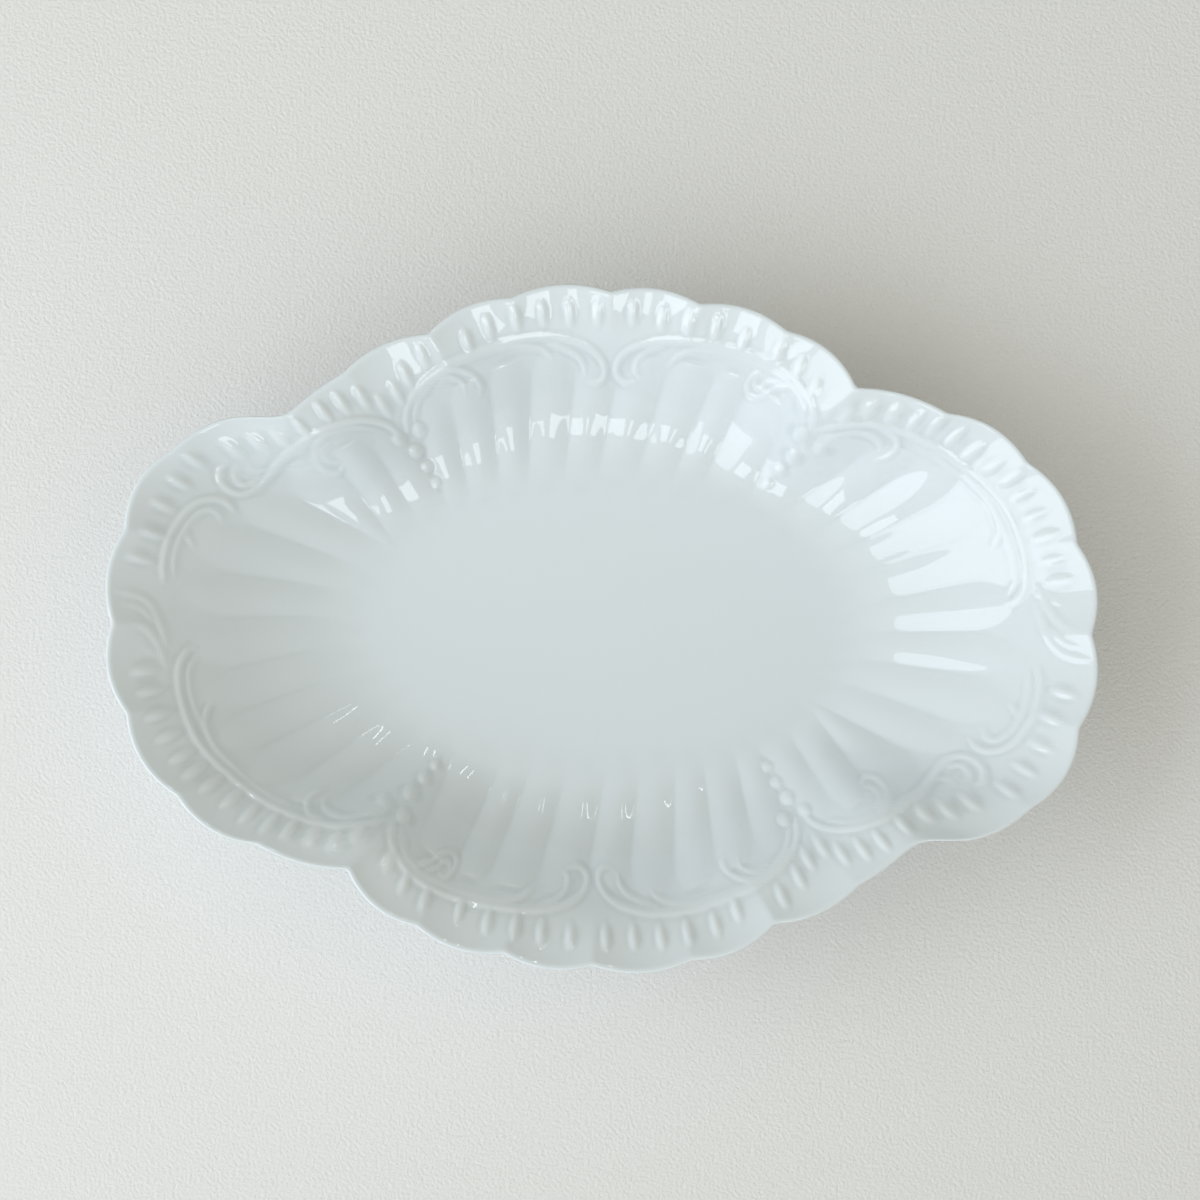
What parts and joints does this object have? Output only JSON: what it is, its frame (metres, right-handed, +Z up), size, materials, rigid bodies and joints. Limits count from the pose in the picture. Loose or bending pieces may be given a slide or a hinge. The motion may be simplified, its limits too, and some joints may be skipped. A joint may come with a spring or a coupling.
{
  "type": "appetizer dish",
  "caption": "Oval porcelain serving dish with a flat well, a gadrooned wall, a wide scalloped rim with a rolled lip, and a low foot ring that it stands on.",
  "frame": {"origin": "under the middle of the dish, on the surface that the foot ring stands on", "axes": "+X along the dish's length, +Y across its width, +Z up out of the dish"},
  "size_m": [0.24, 0.1664, 0.038],
  "materials": {
    "glaze": "clear glossy glaze over cool white porcelain",
    "bare_clay": "unglazed, finely ground porcelain"
  },
  "bodies": {
    "root": {"dish_body": "glaze", "foot_ring": "bare_clay"}
  },
  "joints": []
}
